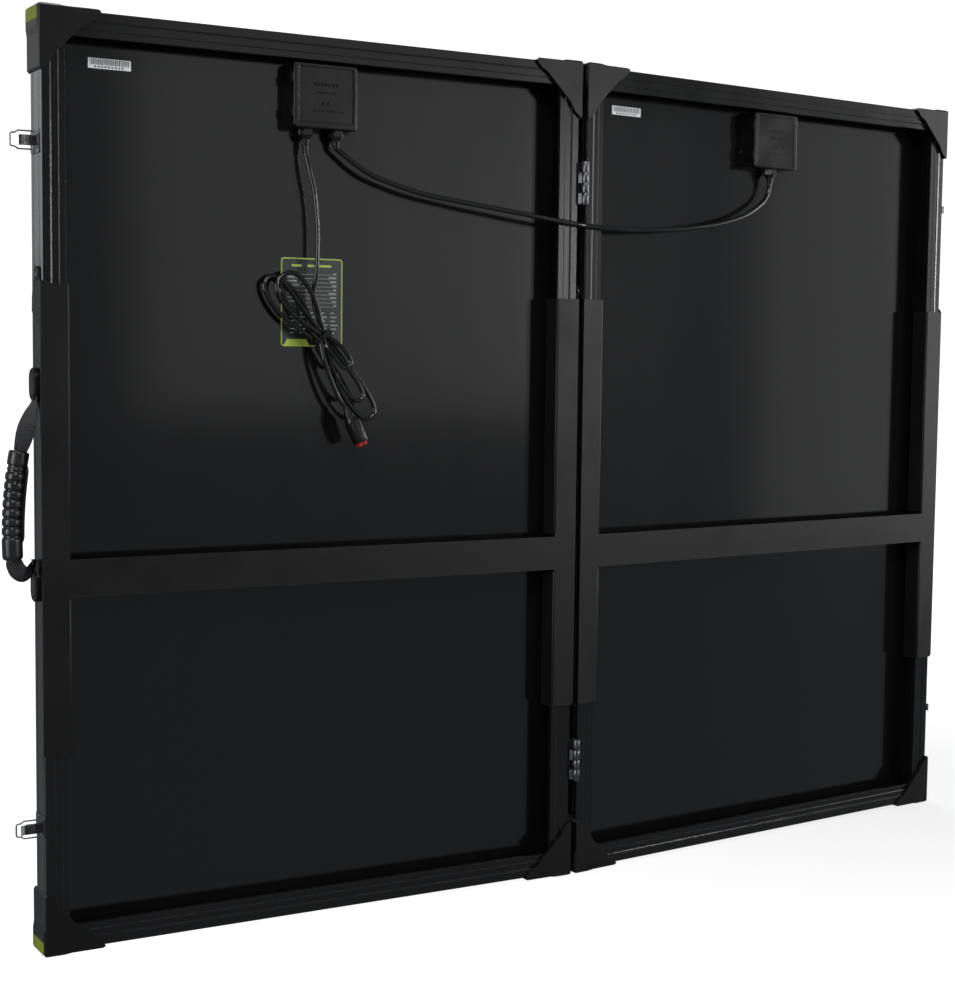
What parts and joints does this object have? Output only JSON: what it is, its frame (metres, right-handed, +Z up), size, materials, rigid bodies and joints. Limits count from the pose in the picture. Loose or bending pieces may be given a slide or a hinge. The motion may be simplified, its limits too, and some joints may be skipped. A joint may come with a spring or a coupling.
{
  "type": "folding solar panel",
  "caption": "Briefcase-style folding solar panel with aluminium frames, corner caps, kickstands, draw latches, a strap handle, junction boxes and an output cable.",
  "frame": {"origin": "bottom face of the left panel's corner cap beside the hinge, under the back edge of the left frame's hinge-side face", "axes": "+X from the left panel toward the right panel, +Y from the back toward the cell side, +Z up with the panels standing on their long edge"},
  "size_m": [1.3929, 0.1251, 1.016],
  "materials": {
    "frame": "satin",
    "key_alloy": "mill",
    "cap_plastic": "fine grain",
    "accent": "satin",
    "glass": "clear",
    "cell": "blue-black silicon",
    "ribbon": "tinned",
    "encapsulant": "smooth",
    "backsheet": "satin",
    "box_plastic": "fine grain",
    "brass": "bright",
    "label_white": "printed film",
    "label_dark": "printed film",
    "steel": "zinc",
    "stand_paint": "textured powder coat",
    "lever_paint": "satin",
    "wire": "bright",
    "webbing": "woven",
    "grip_rubber": "matte",
    "cable_jacket": "glossy",
    "red_plastic": "satin"
  },
  "bodies": {
    "left_panel": {"left_rail_top": "frame", "left_rail_bottom": "frame", "left_rail_outer": "frame", "left_rail_hinge": "frame", "left_corner_keys": "key_alloy", "left_corner_caps": "cap_plastic", "left_cap_accents": "accent", "left_glass": "glass", "left_cells": "cell", "left_ribbons": "ribbon", "left_encapsulant": "encapsulant", "left_backsheet": "backsheet", "left_box_base": "box_plastic", "left_box_lid": "box_plastic", "left_box_terminals": "brass", "left_box_glands": "box_plastic", "left_serial_label": "label_white", "rating_label": "label_dark", "left_hinge_leaves": "steel", "left_rivets": "steel", "left_kickstand_pivots": "lever_paint", "hinge_pins": "steel", "latch_bases": "steel", "handle_anchors": "cap_plastic", "output_lead": "cable_jacket", "cable_hank": "cable_jacket", "cable_tie": "box_plastic", "connector_body": "box_plastic", "connector_tip": "red_plastic", "link_cable": "cable_jacket"},
    "right_panel": {"right_rail_top": "frame", "right_rail_bottom": "frame", "right_rail_outer": "frame", "right_rail_hinge": "frame", "right_corner_keys": "key_alloy", "right_corner_caps": "cap_plastic", "right_cap_accents": "accent", "right_glass": "glass", "right_cells": "cell", "right_ribbons": "ribbon", "right_encapsulant": "encapsulant", "right_backsheet": "backsheet", "right_box_base": "box_plastic", "right_box_lid": "box_plastic", "right_box_terminals": "brass", "right_box_gland": "box_plastic", "right_serial_label": "label_white", "right_hinge_leaves": "steel", "right_rivets": "steel", "right_kickstand_pivots": "lever_paint", "latch_catches": "steel"},
    "left_stand": {"kickstand_left": "stand_paint"},
    "right_stand": {"kickstand_right": "stand_paint"},
    "upper_lever": {"latch_lever_upper": "lever_paint"},
    "upper_bail": {"latch_bail_upper": "wire"},
    "lower_lever": {"latch_lever_lower": "lever_paint"},
    "lower_bail": {"latch_bail_lower": "wire"},
    "handle": {"handle_webbing": "webbing", "handle_grip": "grip_rubber"}
  },
  "joints": [
    {"name": "panel_fold", "type": "hinge", "parent": "left_panel", "child": "right_panel", "pos_m": [0.0066, -0.006, 0.508], "axis": [0, 0, 1], "range_deg": [-186.15, 0], "deforming": ["link_cable"]},
    {"name": "left_stand_swing", "type": "hinge", "parent": "left_panel", "child": "left_stand", "pos_m": [-0.3355, 0.015, 0.735], "axis": [-1, 0, 0], "range_deg": [0, 60]},
    {"name": "right_stand_swing", "type": "hinge", "parent": "right_panel", "child": "right_stand", "pos_m": [0.34448, 0.05153, 0.735], "axis": [-0.9942, -0.1071, 0], "range_deg": [0, 60]},
    {"name": "upper_lever_turn", "type": "hinge", "parent": "left_panel", "child": "upper_lever", "pos_m": [-0.6742, 0.005, 0.874], "axis": [0, 0, 1], "range_deg": [-90, 0]},
    {"name": "upper_bail_turn", "type": "hinge", "parent": "upper_lever", "child": "upper_bail", "pos_m": [-0.6782, 0.005, 0.874], "axis": [0, 0, 1], "range_deg": [0, 180]},
    {"name": "lower_lever_turn", "type": "hinge", "parent": "left_panel", "child": "lower_lever", "pos_m": [-0.6742, 0.005, 0.142], "axis": [0, 0, 1], "range_deg": [-90, 0]},
    {"name": "lower_bail_turn", "type": "hinge", "parent": "lower_lever", "child": "lower_bail", "pos_m": [-0.6782, 0.005, 0.142], "axis": [0, 0, 1], "range_deg": [0, 180]},
    {"name": "handle_swing", "type": "hinge", "parent": "left_panel", "child": "handle", "pos_m": [-0.673, 0.024, 0.508], "axis": [0, 0, 1], "range_deg": [-30, 30], "deforming": ["handle_webbing"]}
  ],
  "couplings": [
    {"joint": "upper_bail_turn", "follows": "upper_lever_turn", "ratio": -2},
    {"joint": "lower_bail_turn", "follows": "lower_lever_turn", "ratio": -2}
  ]
}
